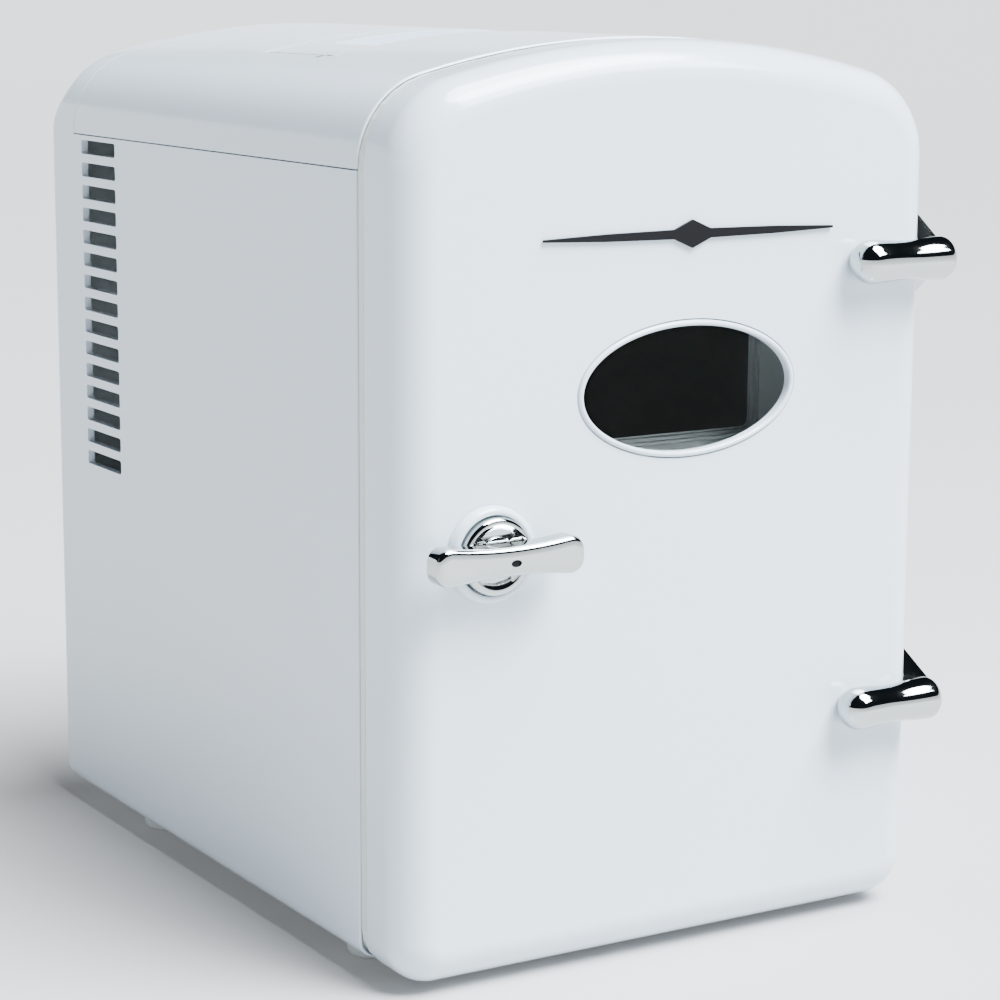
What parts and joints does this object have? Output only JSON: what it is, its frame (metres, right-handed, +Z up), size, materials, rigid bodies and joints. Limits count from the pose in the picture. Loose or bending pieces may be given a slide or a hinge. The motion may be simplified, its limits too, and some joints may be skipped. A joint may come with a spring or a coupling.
{
  "type": "mini fridge",
  "caption": "Retro countertop mini fridge: arched white cabinet, side-hinged door with oval smoked window, chrome turn latch and hinge barrels, roof carry handle.",
  "frame": {"origin": "on the floor, under the middle of the bounding box", "axes": "+X to the hinge side as seen from the front, +Y to the rear, +Z up; the door faces -Y"},
  "size_m": [0.1996, 0.2736, 0.2795],
  "materials": {
    "body_white": "glossy moulded plastic, cool white",
    "liner": "satin moulded plastic, light grey",
    "foam": "rigid insulating foam, matte",
    "gasket": "soft grey seal",
    "foot": "translucent grey rubber",
    "chrome": "polished",
    "steel": "zinc plated",
    "smoked_pane": "smoked, polished",
    "black_trim": "gloss black",
    "black_plastic": "satin black",
    "aluminium": "extruded, plain",
    "ceramic": "white ceramic faces",
    "circuit_board": "green solder mask",
    "wire": "red insulation"
  },
  "bodies": {
    "cabinet": {"cabinet_shell": "body_white", "roof_cover": "body_white", "rear_cover": "body_white", "inner_liner": "liner", "front_frame": "liner", "shelf": "liner", "cavity_fan_guard": "liner", "cabinet_insulation": "foam", "foot_front_left": "foot", "foot_front_right": "foot", "foot_rear_left": "foot", "foot_rear_right": "foot", "hinge_leaf_upper": "chrome", "hinge_leaf_lower": "chrome", "latch_keeper": "steel", "handle_pin_left": "steel", "handle_pin_right": "steel", "hinge_pin_upper": "steel", "hinge_pin_lower": "steel", "cover_screw_low_left": "steel", "cover_screw_high_left": "steel", "cover_screw_low_right": "steel", "cover_screw_high_right": "steel", "leaf_screw_upper_0": "steel", "leaf_screw_upper_1": "steel", "leaf_screw_lower_0": "steel", "leaf_screw_lower_1": "steel", "rear_fan_frame": "black_plastic", "mains_inlet": "black_plastic", "low_voltage_socket": "black_plastic", "switch_frame": "black_plastic", "cold_sink": "aluminium", "cold_block": "aluminium", "heat_sink": "aluminium", "thermoelectric_module": "ceramic", "power_board": "circuit_board", "fan_lead": "wire"},
    "latch": {"latch_disc": "chrome", "latch_bar": "chrome", "latch_shaft": "steel", "latch_tongue": "steel"},
    "door": {"door_shell": "body_white", "door_liner": "liner", "door_insulation": "foam", "door_gasket": "gasket", "outer_pane": "smoked_pane", "inner_pane": "smoked_pane", "window_rim": "body_white", "door_ornament": "black_trim", "latch_escutcheon": "body_white", "hinge_casting_upper": "chrome", "hinge_casting_lower": "chrome"},
    "carry_handle": {"carry_handle": "body_white"},
    "cavity_fan": {"cavity_fan_rotor": "black_plastic"},
    "rear_fan": {"rear_fan_rotor": "black_plastic"},
    "mode_switch": {"mode_switch": "black_trim"}
  },
  "joints": [
    {"name": "door_hinge", "type": "hinge", "parent": "cabinet", "child": "door", "pos_m": [0.09555, -0.0993, 0.13825], "axis": [0, 0, 1], "range_deg": [0, 120]},
    {"name": "latch_turn", "type": "hinge", "parent": "door", "child": "latch", "pos_m": [-0.07115, -0.1233, 0.1326], "axis": [0, 1, 0], "range_deg": [0, 90]},
    {"name": "carry_handle_flip", "type": "hinge", "parent": "cabinet", "child": "carry_handle", "pos_m": [-0.00485, -0.0173, 0.2703], "axis": [1, 0, 0], "range_deg": [0, 90]},
    {"name": "cavity_fan_spin", "type": "hinge", "parent": "cabinet", "child": "cavity_fan", "pos_m": [-0.00485, 0.0332, 0.185], "axis": [0, 1, 0], "continuous": true},
    {"name": "rear_fan_spin", "type": "hinge", "parent": "cabinet", "child": "rear_fan", "pos_m": [-0.00485, 0.1087, 0.185], "axis": [0, 1, 0], "continuous": true},
    {"name": "mode_switch_rock", "type": "hinge", "parent": "cabinet", "child": "mode_switch", "pos_m": [0.02715, 0.1312, 0.044], "axis": [1, 0, 0], "range_deg": [-10, 10]}
  ]
}
